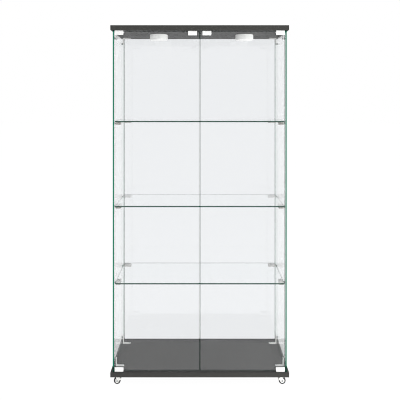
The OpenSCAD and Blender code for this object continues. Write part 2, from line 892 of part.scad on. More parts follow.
// Fork: two cheeks, the fender between them and the crown around the kingpin
module caster_fork(side, end) {
    color("#f1f1ed") at_caster(side, end) difference() {
        union() {
            translate([caster_trail, cheek_y + cheek_t, wheel_r]) rotate([90, 0, 0])
                linear_extrude(2 * (cheek_y + cheek_t)) cheek_outline();
            translate([0, 0, crown_top - crown_t - rivet_h])
                cylinder(r = crown_r, h = crown_t + rivet_h);
        }
        translate([caster_trail, -cheek_y, wheel_r]) rod_y(wheel_r + fender_gap, 2 * cheek_y);
        translate([0, 0, -past]) cylinder(r = kingpin_r + run_clear, h = caster_h);
        translate([0, 0, -past])
            cylinder(r = rivet_r + swivel_gap, h = crown_top - crown_t + past);
        translate([caster_trail, -caster_h, wheel_r]) rod_y(axle_r + run_clear, 2 * caster_h);
    }
}

// Axle riveted in the cheeks
module caster_axle(side, end) {
    half = cheek_y + cheek_t;
    color("#a9adb0") at_caster(side, end) translate([caster_trail, 0, wheel_r]) {
        translate([0, -half, 0]) rod_y(axle_r, 2 * half);
        for (turn = [0, 180]) rotate(turn) translate([0, half, 0])
            rod_y(axle_head_r, axle_head_h);
    }
}

// Hub: boss, web and rim turned about the axle, with moulded ribs on both faces
module caster_hub(side, end) {
    bore_r = axle_r + run_clear;
    rib_w = wheel_w - 2 * rib_below_rim;
    color("#f6f6f2") at_caster(side, end) translate([caster_trail, 0, wheel_r])
        rotate([90, 0, 0]) {
            rotate_extrude() {
                translate([bore_r, -wheel_w / 2]) square([boss_r - bore_r, wheel_w]);
                translate([bore_r, -web_t / 2]) square([hub_r - bore_r, web_t]);
                translate([hub_r - rim_t, -wheel_w / 2]) square([rim_t, wheel_w]);
            }
            for (n = [0:rib_count - 1]) rotate(n * 360 / rib_count)
                translate([boss_r - rib_t / 2, -rib_t / 2, -rib_w / 2])
                    cube([hub_r - boss_r, rib_t, rib_w]);
        }
}

// Tyre with rounded shoulders around the hub
module caster_tyre(side, end) {
    tyre_in = hub_r + run_clear;
    color("#55585a") at_caster(side, end) translate([caster_trail, 0, wheel_r])
        rotate([90, 0, 0]) rotate_extrude() {
            translate([tyre_in, -wheel_w / 2])
                square([wheel_r - tyre_round - tyre_in, wheel_w]);
            translate([tyre_in, -wheel_w / 2 + tyre_round])
                square([wheel_r - tyre_in, wheel_w - 2 * tyre_round]);
            for (y = [-1, 1])
                translate([wheel_r - tyre_round, y * (wheel_w / 2 - tyre_round)])
                    circle(tyre_round);
        }
}

base_board();
top_board();
side_glass(LEFT);  // side_glass_left
side_glass(RIGHT);  // side_glass_right
back_glass();
door_glass(LEFT);  // door_glass_left
door_glass(RIGHT);  // door_glass_right
shelf(lower_shelf_z);  // lower_shelf
shelf(middle_shelf_z);  // middle_shelf
shelf(upper_shelf_z);  // upper_shelf
corner_brackets();
shelf_supports(lower_shelf_z);  // lower_shelf_supports
shelf_supports(middle_shelf_z);  // middle_shelf_supports
shelf_supports(upper_shelf_z);  // upper_shelf_supports
shelf_pads();
glass_bolts();
bolt_caps();
board_screws();
hinge_bushes();
hinge_clamp(LEFT, false);  // hinge_clamp_left_lower
hinge_clamp(LEFT, true);  // hinge_clamp_left_upper
hinge_clamp(RIGHT, false);  // hinge_clamp_right_lower
hinge_clamp(RIGHT, true);  // hinge_clamp_right_upper
clamp_liners(LEFT);  // clamp_liners_left
clamp_liners(RIGHT);  // clamp_liners_right
set_screws(LEFT);  // set_screws_left
set_screws(RIGHT);  // set_screws_right
pivot_pins(LEFT);  // pivot_pins_left
pivot_pins(RIGHT);  // pivot_pins_right
strike_clip(LEFT);  // strike_clip_left
strike_clip(RIGHT);  // strike_clip_right
catch_housings();
catch_plunger(LEFT);  // catch_plunger_left
catch_plunger(RIGHT);  // catch_plunger_right
catch_magnet(LEFT);  // catch_magnet_left
catch_magnet(RIGHT);  // catch_magnet_right
light_mounts();
light_housing(LEFT);  // light_housing_left
light_housing(RIGHT);  // light_housing_right
light_circuits();
light_batteries();
light_lens(LEFT);  // light_lens_left
light_lens(RIGHT);  // light_lens_right
caster_plates();
caster_fork(LEFT, FRONT);  // caster_fork_front_left
caster_fork(RIGHT, FRONT);  // caster_fork_front_right
caster_fork(LEFT, REAR);  // caster_fork_rear_left
caster_fork(RIGHT, REAR);  // caster_fork_rear_right
caster_axle(LEFT, FRONT);  // caster_axle_front_left
caster_axle(RIGHT, FRONT);  // caster_axle_front_right
caster_axle(LEFT, REAR);  // caster_axle_rear_left
caster_axle(RIGHT, REAR);  // caster_axle_rear_right
caster_hub(LEFT, FRONT);  // caster_hub_front_left
caster_hub(RIGHT, FRONT);  // caster_hub_front_right
caster_hub(LEFT, REAR);  // caster_hub_rear_left
caster_hub(RIGHT, REAR);  // caster_hub_rear_right
caster_tyre(LEFT, FRONT);  // caster_tyre_front_left
caster_tyre(RIGHT, FRONT);  // caster_tyre_front_right
caster_tyre(LEFT, REAR);  // caster_tyre_rear_left
caster_tyre(RIGHT, REAR);  // caster_tyre_rear_right
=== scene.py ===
"""Dressed model of a two-door glass display case on swivel casters.

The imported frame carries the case. This script gives every pane, board and fitting its finish,
builds the turned and moulded fittings as surfaces, and sets the floor, the lamps and the camera.
All lengths are metres unless a name says otherwise, in the frame's own axes.
"""
import json
import logging
import math
from contextlib import contextmanager
from dataclasses import dataclass
from enum import Enum
from typing import Iterable, Iterator, Sequence

import bmesh
import bpy
import numpy as np
from bpy.types import Material, Mesh, NodeSocket, NodeTree, Object, World
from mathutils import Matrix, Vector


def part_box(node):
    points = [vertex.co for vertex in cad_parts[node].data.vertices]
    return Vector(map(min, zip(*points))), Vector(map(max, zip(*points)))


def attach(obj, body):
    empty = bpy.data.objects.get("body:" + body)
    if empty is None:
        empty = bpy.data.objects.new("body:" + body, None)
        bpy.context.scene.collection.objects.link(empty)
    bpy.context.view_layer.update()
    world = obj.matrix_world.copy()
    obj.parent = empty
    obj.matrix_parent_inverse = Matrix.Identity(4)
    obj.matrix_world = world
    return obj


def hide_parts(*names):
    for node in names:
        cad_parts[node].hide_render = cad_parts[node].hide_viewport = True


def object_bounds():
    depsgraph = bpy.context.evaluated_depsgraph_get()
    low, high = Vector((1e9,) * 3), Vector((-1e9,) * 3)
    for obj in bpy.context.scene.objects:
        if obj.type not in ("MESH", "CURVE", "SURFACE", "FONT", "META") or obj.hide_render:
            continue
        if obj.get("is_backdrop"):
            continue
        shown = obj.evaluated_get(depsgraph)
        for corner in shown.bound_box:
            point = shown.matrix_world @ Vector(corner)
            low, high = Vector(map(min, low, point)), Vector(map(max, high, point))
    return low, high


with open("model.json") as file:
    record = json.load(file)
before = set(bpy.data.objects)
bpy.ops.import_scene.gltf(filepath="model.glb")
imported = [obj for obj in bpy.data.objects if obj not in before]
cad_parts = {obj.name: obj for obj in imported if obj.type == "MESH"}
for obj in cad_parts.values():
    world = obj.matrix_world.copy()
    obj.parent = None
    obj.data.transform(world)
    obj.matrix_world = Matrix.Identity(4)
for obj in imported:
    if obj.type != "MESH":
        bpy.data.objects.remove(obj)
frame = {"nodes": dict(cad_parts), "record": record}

LOG = logging.getLogger("display_case")
MM = 0.001
SIDES = ("left", "right")
WHITE = (1.0, 1.0, 1.0, 1.0)
Array = np.ndarray
NOISE_SPAN = {"From Min": 0.3, "From Max": 0.7}  # where nearly all of a noise's values lie
PATCH_RATIO = 25  # a finish's soft patches are this many times its grain
BUMP_STRENGTH = 0.6
SMOOTH_DEG = 35.0  # an edge flatter than this is shaded smooth
FLAT_DEG = 1.0  # faces nearer than this to one plane are joined up
SOFT_DEG = 25.0  # an edge sharper than this is rounded
WELD_MM = 0.002
ORDER_DIGITS = 5  # decimals of a metre by which a node's solids are put in order
MIX_A, MIX_B, MIX_RESULT = 6, 7, 2  # a Mix node's colour sockets


# ---------------- colours and nodes


def linear(hex_colour: str) -> tuple[float, float, float, float]:
    """Turn an sRGB hex colour into the linear values that shaders read.

    Args:
        hex_colour: the colour as "#rrggbb".

    Returns:
        Linear red, green and blue, and an alpha of 1.
    """
    parts = [int(hex_colour[i : i + 2], 16) / 255 for i in (1, 3, 5)]
    lit = [c / 12.92 if c <= 0.04045 else ((c + 0.055) / 1.055) ** 2.4 for c in parts]
    return (*lit, 1.0)


def add_node(
    tree: NodeTree, kind: str, inputs: dict | None = None, output: int | str = 0, **settings
) -> NodeSocket | None:
    """Add one node with its settings, values and links.

    Args:
        tree: the node tree that gets the node.
        kind: the node's type name, without the "ShaderNode" before it.
        inputs: input name or number, and the value or the output socket that feeds it.
        output: name or number of the output to return.
        settings: attributes of the node itself.

    Returns:
        The chosen output of the new node, or None for a node that ends a tree.
    """
    node = tree.nodes.new(f"ShaderNode{kind}")
    for name, value in settings.items():
        setattr(node, name, value)
    for key, value in (inputs or {}).items():
        if isinstance(value, NodeSocket):
            tree.links.new(value, node.inputs[key])
        else:
            node.inputs[key].default_value = value
    return node.outputs[output] if node.outputs else None


def cleared(owner: Material | World) -> NodeTree:
    """Turn on and empty a node tree.

    Args:
        owner: the material or world that has it.

    Returns:
        The empty tree.
    """
    owner.use_nodes = True
    owner.node_tree.nodes.clear()
    return owner.node_tree


class Axis(Enum):
    """The direction that a pane faces or that a turned piece lies along."""

    X = 0
    Y = 1
    Z = 2


# ---------------- finishes


@dataclass(frozen=True)
class Finish:
    """A real surface: what it is made of and how it was finished."""

    name: str
    slot: str
    colour: str
    roughness: float
    ior: float = 1.5
    coat: float = 0.0
    grain_mm: float = 1.0
    grain_depth_mm: float = 0.01
    tone_shift: float = 0.04
    rough_shift: float = 0.08

    def material(self) -> Material:
        """Find the finish's material, or make it the first time.

        Returns:
            The material, with its nodes.
        """
        material = bpy.data.materials.get(self.name)
        if material is None:
            material = bpy.data.materials.new(self.name)
            tree = cleared(material)
            add_node(tree, "OutputMaterial", {"Surface": self.surface(tree)})
        return material

    def pattern(
        self, tree: NodeTree, size_mm: float, detail: float = 2.0, stretch: float = 1.0
    ) -> NodeSocket:
        """Make a noise pattern, in round lumps or in lines along X.

        Args:
            tree: the material's nodes.
            size_mm: how wide a lump or a line is.
            detail: how much finer noise lies over it.
            stretch: how many times as long as wide a line is.

        Returns:
            The pattern, from 0 to 1.
        """
        place = add_node(tree, "TexCoord", output="Object")
        if stretch != 1:
            drawn = {"Vector": place, "Scale": (1 / stretch, 1.0, 1.0)}
            place = add_node(tree, "Mapping", drawn)
        inputs = {"Vector": place, "Scale": 1 / (size_mm * MM), "Detail": detail}
        return add_node(tree, "TexNoise", inputs)

    def slab(self, tree: NodeTree, kind: str, axis: Axis, half: float) -> NodeSocket:
        """Find the places where a coordinate is less than half away from 0.

        Args:
            tree: the material's nodes.
            kind: "Object" for places or "Normal" for the way the surface faces.
            axis: the axis of the coordinate.
            half: how far it may be from 0.

        Returns:
            1 in those places and 0 elsewhere.
        """
        vector = add_node(tree, "TexCoord", output=kind)
        along = add_node(tree, "SeparateXYZ", {0: vector}, axis.value)
        away = add_node(tree, "Math", {0: along}, operation="ABSOLUTE")
        return add_node(tree, "Math", {0: away, 1: half}, operation="LESS_THAN")

    def spread(self, tree: NodeTree, noise: NodeSocket, middle: float, shift: float) -> NodeSocket:
        """Return the noise stretched to run from middle - shift to middle + shift."""
        wanted = {"Value": noise, "To Min": middle - shift, "To Max": middle + shift}
        return add_node(tree, "MapRange", NOISE_SPAN | wanted)

    def tint(self, tree: NodeTree, noise: NodeSocket) -> NodeSocket:
        """Return the base colour, a little lighter and darker where the noise is."""
        value = self.spread(tree, noise, 1, self.tone_shift)
        return add_node(tree, "HueSaturation", {"Value": value, "Color": linear(self.colour)})

    def patches(self, tree: NodeTree) -> NodeSocket:
        """Return the base colour, a little lighter and darker in soft patches."""
        return self.tint(tree, self.pattern(tree, self.grain_mm * PATCH_RATIO))

    def gloss(self, tree: NodeTree, noise: NodeSocket) -> NodeSocket:
        """Return the roughness, a little more and less where the noise is."""
        return self.spread(tree, noise, self.roughness, self.rough_shift)

    def raised(self, tree: NodeTree, height: NodeSocket) -> NodeSocket:
        """Return the normal of a surface with that height pattern."""
        depth = {"Strength": BUMP_STRENGTH, "Distance": self.grain_depth_mm * MM}
        return add_node(tree, "Bump", depth | {"Height": height})

    def surface(self, tree: NodeTree) -> NodeSocket:
        """Return the shader that the finish's inputs feed."""
        return add_node(tree, "BsdfPrincipled", self.inputs(tree))

    def inputs(self, tree: NodeTree) -> dict:
        """Make the shader's inputs: colour in patches, and fine grain in gloss and height.

        Args:
            tree: the material's nodes.

        Returns:
            The value or socket of each input.
        """
        grain = self.pattern(tree, self.grain_mm)
        return {
            "Base Color": self.patches(tree),
            "Roughness": self.gloss(tree, grain),
            "IOR": self.ior,
            "Coat Weight": self.coat,
            "Normal": self.raised(tree, grain),
        }


@dataclass(frozen=True)
class MelamineLaminate(Finish):
    """Printed melamine on particle board, with a smoother solid band glued along its edges."""

    specular: float = 0.12
    band_colour: str = "#3d3d3b"
    band_gloss: float = 0.12
    edge_normal: float = 0.7
    pore_mm: float = 0.9
    streak_mm: float = 3.0
    streak_stretch: float = 18.0

    def inputs(self, tree: NodeTree) -> dict:
        """Make the shader's inputs: streaked colour, pores in the gloss, and the edge band.

        Args:
            tree: the material's nodes.

        Returns:
            The value or socket of each input.
        """
        pores = self.pattern(tree, self.pore_mm, detail=4.0)
        band = self.slab(tree, "Normal", Axis.Z, self.edge_normal)
        streaks = self.pattern(tree, self.streak_mm, detail=3.0, stretch=self.streak_stretch)
        grey = self.tint(tree, streaks)
        colours = {"Factor": band, MIX_A: grey, MIX_B: linear(self.band_colour)}
        smoother = {0: band, 1: -self.band_gloss, 2: self.gloss(tree, pores)}
        return {
            "Base Color": add_node(tree, "Mix", colours, MIX_RESULT, data_type="RGBA"),
            "Roughness": add_node(tree, "Math", smoother, operation="MULTIPLY_ADD"),
            "IOR": self.ior,
            "Specular IOR Level": self.specular,
            "Normal": self.raised(tree, pores),
        }


@dataclass(frozen=True)
class FloatGlass(Finish):
    """Clear toughened float glass: polished faces and ground rims.

    Iron in the melt makes the glass green along its length. A ray that crosses a pane keeps
    nearly all of its light, and a rim, which shows the pane's whole length, looks deep green
    from outside and a little paler through the pane itself. Near the boards an upright rim's
    green is darkened with painted shade, and painted shade lies on the doors' faces by the gap.
    """

    slot: str = "clear_glass"
    colour: str = "#f6f7f8"
    roughness: float = 0.0
    ior: float = 1.52
    faces: Axis = Axis.Y
    face_normal: float = 0.9
    rim_colour: str = "#17302a"
    rim_roughness: float = 0.4
    rim_specular: float = 0.05
    rim_inside: float = 0.8
    grind_mm: float = 0.7
    painted_gap_shade_mm: float = 0.0
    # Where an upright pane stands, and how far from each board its rim gets painted shade.
    stands: tuple[float, float] | None = None
    foot_mm: tuple[float, float] = (20.0, 32.0)
    head_mm: tuple[float, float] = (2.0, 9.0)
    end_share: float = 0.2
    calm: float = 0.0
    glance: tuple[float, float] = (0.5, 0.8)

    def rim(self, tree: NodeTree, painted_end_shade: NodeSocket | None) -> NodeSocket:
        """Tell the ground rim, and the painted shade by the doors' gap, from the polished faces.

        Args:
            tree: the material's nodes.
            painted_end_shade: what ends() returned, on a pane that stands between the boards.

        Returns:
            1 on the rim seen from outside, less from inside, and 0 elsewhere. Near the boards it
            rises towards 1 from inside too, so that the painted shade there shows.
        """
        ground = self.slab(tree, "Normal", self.faces, self.face_normal)
        # Painted shade: a hairline of door face on each side of the gap takes the rim's dark
        # green.
        if self.painted_gap_shade_mm:
            edges = self.slab(tree, "Object", Axis.X, self.painted_gap_shade_mm * MM)
            ground = add_node(tree, "Math", {0: ground, 1: edges}, operation="MAXIMUM")
        inside = add_node(tree, "NewGeometry", output="Backfacing")
        share = {0: inside, 1: self.rim_inside - 1, 2: 1.0}
        kept = add_node(tree, "Math", share, operation="MULTIPLY_ADD")
        # Near the boards the rim counts from inside too, so that its painted shade shows.
        if painted_end_shade is not None:
            shut = add_node(tree, "Math", {0: 1.0, 1: painted_end_shade}, operation="SUBTRACT")
            kept = add_node(tree, "Math", {0: kept, 1: shut}, operation="MAXIMUM")
        return add_node(tree, "Math", {0: ground, 1: kept}, operation="MULTIPLY")

    def painted_end_shade(self, tree: NodeTree) -> NodeSocket:
        """Paint shade where an upright rim nears a board and only carries the board's dark.

        Args:
            tree: the material's nodes.

        Returns:
            1 along the rim, falling to end_share below foot_mm and above head_mm: painted shade.
        """
        place = add_node(tree, "TexCoord", output="Object")
        height = add_node(tree, "SeparateXYZ", {0: place}, "Z")
        low, high = self.stands
        foot = [low + gap * MM for gap in self.foot_mm]
        head = [high - gap * MM for gap in self.head_mm]
        shares = {}
        for number, (near, far) in enumerate((foot, head)):
            rise = {"Value": height, "From Min": near, "From Max": far, "To Min": self.end_share}
            shares[number] = add_node(tree, "MapRange", rise, interpolation_type="SMOOTHSTEP")
        return add_node(tree, "Math", shares, operation="MULTIPLY")

    def calmed(self, tree: NodeTree, face: NodeSocket) -> NodeSocket:
        """Make a face's mirror at a glancing look fainter.

        Args:
            tree: the material's nodes.
            face: the face's shader.

        Returns:
            The calmer shader.
        """
        facing = add_node(tree, "LayerWeight", output="Facing")
        start, full = self.glance
        share = {"Value": facing, "From Min": start, "From Max": full, "To Max": self.calm}
        clear = add_node(tree, "BsdfTransparent")
        shares = {0: add_node(tree, "MapRange", share), 1: face, 2: clear}
        return add_node(tree, "MixShader", shares)

    def surface(self, tree: NodeTree) -> NodeSocket:
        """Make the shader: refracting faces, green rims, and a clear way for the lamps.

        Args:
            tree: the material's nodes.

        Returns:
            The shader.
        """
        glass = {
            "Base Color": linear(self.colour),
            "Roughness": self.roughness,
            "IOR": self.ior,
            "Transmission Weight": 1.0,
        }
        face = add_node(tree, "BsdfPrincipled", glass)
        face = self.calmed(tree, face) if self.calm else face
        painted_end_shade = self.painted_end_shade(tree) if self.stands else None
        # Painted shade: near the boards the rim's green is darkened.
        green = linear(self.rim_colour)
        if painted_end_shade is not None:
            green = add_node(tree, "HueSaturation", {"Value": painted_end_shade, "Color": green})
        ground = {
            "Base Color": green,
            "Roughness": self.rim_roughness,
            "Specular IOR Level": self.rim_specular,
            "Normal": self.raised(tree, self.pattern(tree, self.grind_mm, detail=3.0)),
        }
        rim = add_node(tree, "BsdfPrincipled", ground)
        pane = add_node(tree, "MixShader", {0: self.rim(tree, painted_end_shade), 1: face, 2: rim})
        lamps = add_node(tree, "LightPath", output="Is Shadow Ray")
        clear = add_node(tree, "BsdfTransparent")
        return add_node(tree, "MixShader", {0: lamps, 1: pane, 2: clear})


@dataclass(frozen=True)
class ClearMoulding(Finish):
    """Translucent moulded plastic: most light goes through it, softened."""

    clearness: float = 0.6
    # A painted glow in white, for a moulding that has to look brighter than its light makes it.
    glow: float = 0.0

    def inputs(self, tree: NodeTree) -> dict:
        """Make the shader's inputs: part glass, part pale plastic, under a moulded skin.

        Args:
            tree: the material's nodes.

        Returns:
            The value or socket of each input.
        """
        return {
            "Base Color": self.patches(tree),
            "Roughness": self.roughness,
            "IOR": self.ior,
            "Transmission Weight": self.clearness,
            # Painted light: the glow, set only on the lens, lifts it towards white.
            "Emission Color": WHITE,
            "Emission Strength": self.glow,
            "Normal": self.raised(tree, self.pattern(tree, self.grain_mm)),
        }


@dataclass(frozen=True)
class DrawnSteel(Finish):
    """Plated steel with the fine lines of drawing or turning along X."""

    stretch: float = 30.0

    def inputs(self, tree: NodeTree) -> dict:
        """Make the shader's inputs: metal whose gloss and height vary in fine lines.

        Args:
            tree: the material's nodes.

        Returns:
            The value or socket of each input.
        """
        lines = self.pattern(tree, self.grain_mm, detail=3.0, stretch=self.stretch)
        return {
            "Base Color": self.patches(tree),
            "Roughness": self.gloss(tree, lines),
            "Metallic": 1.0,
            "Normal": self.raised(tree, lines),
        }


# Warm charcoal print, dull enough to show no lamp, with pores that only a close look finds.
BOARD = MelamineLaminate("melamine_dark_grey", "board_laminate", "#414140", 0.6)
# Clear across the faces, with the deep bottle green of a thick pane in the ground rims,
# darkened near the boards with painted shade.
SIDE_GLASS = FloatGlass(
    "float_glass_side_pane",
    faces=Axis.X,
    rim_colour="#1c6a54",
    rim_inside=0.35,
    stands=(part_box("base_board")[1].z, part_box("top_board")[0].z),
    calm=0.65,
)
# The same glass square to the eye: a faint cool veil on its face and nearly black rims.
BACK_GLASS = FloatGlass("float_glass_back")
# The same again with painted shade: a dark hairline of rim colour on each side of the gap,
# where light leaves by the edge.
DOOR_GLASS = FloatGlass("float_glass_door", painted_gap_shade_mm=3.1)
# The same glass lying flat: its front rim is a thin, nearly black green line.
SHELF_GLASS = FloatGlass(
    "float_glass_shelf", colour="#fdfefe", faces=Axis.Z, rim_colour="#07382b", rim_inside=1.0
)
# Baked white enamel on cast zinc: bright, with a wet gloss and the softest orange peel.
ENAMEL = Finish(
    "white_enamel", "white_enamel", "#e0e0de", 0.24, coat=0.4, grain_mm=1.5, tone_shift=0.015
)
# Powder coat on bent steel: a shade greyer than the enamel, and finely pebbled.
POWDER_COAT = Finish(
    "pale_powder_coat",
    "white_enamel",
    "#c6c6c3",
    0.38,
    coat=0.1,
    grain_mm=0.6,
    grain_depth_mm=0.03,
    tone_shift=0.02,
)
# Clear moulding that looks like ice at its walls and lets the shelf's light through its top.
SUPPORT_PLASTIC = ClearMoulding(
    "clear_acrylic_moulding", "clear_plastic", "#bdbab4", 0.12, ior=1.49
)
# Milky, slightly greasy pad that is only seen as a pale disc under the shelf.
SILICONE = ClearMoulding("silicone_pad", "silicone", "#e4e6e5", 0.35, ior=1.41, clearness=0.4)
# Polished plate that mirrors the room: a bolt is a grey dot on white and a pale one on dark.
BOLT_CHROME = DrawnSteel(
    "polished_bolt_chrome", "bright_metal", "#7a7c7f", 0.2, grain_mm=0.4, rough_shift=0.05
)
# Bright zinc: cool silver with cloudy patches and the lines of turning.
ZINC = DrawnSteel("bright_zinc_plate", "zinc_steel", "#b4b7b9", 0.3, grain_mm=0.5)
# Undyed nylon: waxy, faintly yellow and without a sharp highlight.
NYLON = Finish("natural_nylon", "natural_nylon", "#e7e6df", 0.45, ior=1.53, grain_mm=0.8)
# Dead matt rubber that shows as a dark line between clamp and glass.
LINER = Finish("soft_liner_rubber", "liner_rubber", "#3a3c3c", 0.8, ior=1.52, grain_mm=0.6)
# Spark-eroded black plastic: a fine even pebble that breaks every highlight.
BLACK_ABS = Finish(
    "black_abs_fine_matt",
    "black_plastic",
    "#262728",
    0.55,
    ior=1.53,
    grain_mm=0.5,
    grain_depth_mm=0.03,
)
# Nickel on a magnet: plain grey, satin, with soft cloudy marks.
NICKEL = DrawnSteel("nickel_magnet_face", "nickel_magnet", "#a9abac", 0.25, grain_mm=0.4)
# Injection-moulded white plastic: satin, warm white, a broad soft highlight.
WHITE_ABS = Finish(
    "white_abs_satin", "white_plastic", "#f6f6f3", 0.35, ior=1.53, grain_mm=0.7, tone_shift=0.015
)
# Cream lacquer of a circuit board, a little glossy over its copper.
SOLDER_MASK = Finish("white_solder_mask", "circuit_board", "#dfe3cc", 0.4, ior=1.52, grain_mm=0.8)
# Shrunk plastic sleeve of a dry cell: smooth and grey.
CELL_SLEEVE = Finish("cell_sleeve", "battery_sleeve", "#777d80", 0.3)
# Frosted plastic that hides the diodes behind it, with a faint painted glow that lifts it to
# white.
DIFFUSER = ClearMoulding(
    "frosted_diffuser", "lens_plastic", "#fdfdfa", 0.5, ior=1.49, clearness=0.08, glow=0.2
)
# Grey soft rubber: matt and darker than the board, with the fine nap of its mould.
TYRE_RUBBER = Finish(
    "tyre_rubber_grey", "tyre_grey", "#333435", 0.7, ior=1.52, grain_mm=0.5, grain_depth_mm=0.03
)


# ---------------- surfaces


@dataclass
class Surface:
    """Points and faces of one or more closed skins."""

    points: Array
    faces: list[tuple[int, ...]]

    @classmethod
    def joined(cls, parts: Iterable["Surface"]) -> "Surface":
        """Join surfaces into one.

        Args:
            parts: the surfaces.

        Returns:
            One surface that holds all the parts.
        """
        points: list[Array] = []
        faces: list[tuple[int, ...]] = []
        count = 0
        for part in parts:
            points.append(part.points)
            faces.extend(tuple(i + count for i in face) for face in part.faces)
            count += len(part.points)
        return cls(np.concatenate(points), faces)

    def laid(self, axis: Axis, flip: bool, place: Array) -> "Surface":
        """Lay the surface's +Z along an axis, or against it, and its origin at a place.

        Args:
            axis: the axis that +Z is laid along.
            flip: True to point it the other way.
            place: where the origin comes.

        Returns:
            The surface in its place. Axes are only cycled, or two are reversed, so that its
            faces still point outwards.
        """
        order = {Axis.X: [2, 0, 1], Axis.Y: [1, 2, 0], Axis.Z: [0, 1, 2]}[axis]
        points = self.points * np.array([1, -1, -1]) if flip else self.points
        return Surface(points[:, order] + place, self.faces)

    def to_object(self, name: str, finish: Finish) -> Object:
        """Make a Blender object of the surface.

        Args:
            name: the object's name.
            finish: its finish.

        Returns:
            The object, at the origin, with its place in its mesh.
        """
        mesh = bpy.data.meshes.new(name)
        mesh.from_pydata(self.points.tolist(), [], self.faces)
        mesh.validate()
        thing = linked(name, mesh)
        mesh.materials.append(finish.material())
        shade(mesh)
        return thing


def linked(name: str, data: bpy.types.ID) -> Object:
    """Put a new object in the scene.

    Args:
        name: its name.
        data: the mesh, the lamp or the camera that it shows.

    Returns:
        The object.
    """
    thing = bpy.data.objects.new(name, data)
    bpy.context.scene.collection.objects.link(thing)
    return thing


@contextmanager
def edited(mesh: Mesh) -> Iterator[bmesh.types.BMesh]:
    """Open a mesh for changes and write them back at the end.

    Args:
        mesh: the mesh to change.

    Yields:
        The mesh in the form that takes the changes.
    """
    work = bmesh.new()
    work.from_mesh(mesh)
    yield work
    work.to_mesh(mesh)
    work.free()


def shade(mesh: Mesh) -> None:
    """Shade a mesh smooth and mark its sharper edges as sharp.

    Args:
        mesh: the mesh.
    """
    with edited(mesh) as work:
        for face in work.faces:
            face.smooth = True
        for edge in work.edges:
            flat = edge.is_manifold and edge.calc_face_angle(0.0) < math.radians(SMOOTH_DEG)
            edge.smooth = flat


def arc(centre: Sequence[float], radius: float, start: float, end: float, steps: int) -> Array:
    """Return points of a circular arc.

    Each point is the centre plus the radius times (cos a, sin a), with a from start to end.

    Args:
        centre: the arc's centre.
        radius: its radius.
        start: its first angle, in degrees.
        end: its last angle, in degrees.
        steps: how many points, both ends included.

    Returns:
        An array of steps points in the plane.
    """
    angle = np.radians(np.linspace(start, end, steps))
    ring = np.stack([np.cos(angle), np.sin(angle)], axis=1)
    return np.asarray(centre) + radius * ring


def dome(radius: float, low: float, high: float, steps: int) -> Array:
    """Return a dome's points from its rim to its top.

    Each point is (radius cos a, low + (high - low) sin a), with a from 0 to 90 degrees.

    Args:
        radius: the rim's radius.
        low: the rim's height.
        high: the top's height.
        steps: how many points.

    Returns:
        One row a point. The last radius is exactly 0.
    """
    angle = np.linspace(0, math.pi / 2, steps)
    points = np.stack([radius * np.cos(angle), low + (high - low) * np.sin(angle)], axis=1)
    points[-1, 0] = 0.0
    return points


def eased(value: Array, low: float, high: float) -> Array:
    """Return t * t * (3 - 2 t), where t runs from 0 at low to 1 at high."""
    share = np.clip((value - low) / (high - low), 0.0, 1.0)
    return share * share * (3 - 2 * share)


def in_metres(*rows: Sequence[float] | Array) -> Array:
    """Return points and arcs, given in millimetres, as one profile in metres."""
    return np.concatenate([np.atleast_2d(np.asarray(row, dtype=float)) for row in rows]) * MM


def solids(node: str) -> list[tuple[Array, Array]]:
    """Find the boxes of a frame node's separate solids.

    Args:
        node: the node's name.

    Returns:
        The lowest and highest corner of each solid, in the order of their middles.
    """
    mesh = merged_copy(node, "scratch")
    boxes = []
    with edited(mesh) as work:
        left = set(work.verts)
        # Each island of joined points is one solid.
        while left:
            island, edge = set(), [left.pop()]
            while edge:
                vert = edge.pop()
                island.add(vert)
                near = {e.other_vert(vert) for e in vert.link_edges} & left
                left -= near
                edge.extend(near)
            points = np.array([v.co[:] for v in island])
            boxes.append((points.min(0), points.max(0)))
    bpy.data.meshes.remove(mesh)
    return sorted(boxes, key=lambda box: tuple(np.round(box[0] + box[1], ORDER_DIGITS)))


def merged_copy(node: str, name: str) -> Mesh:
    """Copy a frame node's mesh and join up its loose triangles.

    Args:
        node: the node's name.
        name: the copy's name.

    Returns:
        The copy.
    """
    mesh = frame["nodes"][node].data.copy()
    mesh.name = name
    with edited(mesh) as work:
        bmesh.ops.remove_doubles(work, verts=work.verts, dist=WELD_MM * MM)
    return mesh


def body_of_node(node: str) -> str:
    """Return the body that carries a frame node."""
    bodies = frame["record"]["behaviour"]["bodies"]
    return next(body for body, nodes in bodies.items() if node in nodes)


def soften(finish: Finish, radius_mm: float, *nodes: str, steps: int = 2) -> None:
    """Stand copies with rounded edges in for frame nodes.

    Args:
        finish: the copies' finish.
        radius_mm: how far each sharp edge is rounded back.
        nodes: the nodes that are copied and replaced.
        steps: how many facets round each edge.
    """
    for node in nodes:
        mesh = merged_copy(node, f"{node}_form")
        with edited(mesh) as work:
            limit = math.radians(FLAT_DEG)
            bmesh.ops.dissolve_limit(work, angle_limit=limit, verts=work.verts, edges=work.edges)
        mesh.materials.clear()
        mesh.materials.append(finish.material())
        thing = linked(f"{node}_form", mesh)
        for face in mesh.polygons:
            face.use_smooth = True
        bevel = thing.modifiers.new("soft_edges", "BEVEL")
        bevel.width = radius_mm * MM
        bevel.segments = steps
        bevel.limit_method = "ANGLE"
        bevel.angle_limit = math.radians(SOFT_DEG)
        bevel.harden_normals = True
        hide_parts(node)
        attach(thing, body_of_node(node))
        LOG.info("%s: softened edges, %s", node, finish.name)


def dress(finish: Finish, *nodes: str) -> None:
    """Give frame nodes that are shown as they are their finish.

    Args:
        finish: the finish.
        nodes: the nodes.
    """
    for node in nodes:
        thing = frame["nodes"][node]
        for slot in thing.material_slots:
            slot.material = finish.material()
        if not thing.material_slots:
            thing.data.materials.append(finish.material())
        LOG.info("%s: %s", node, finish.name)


# ---------------- turned pieces


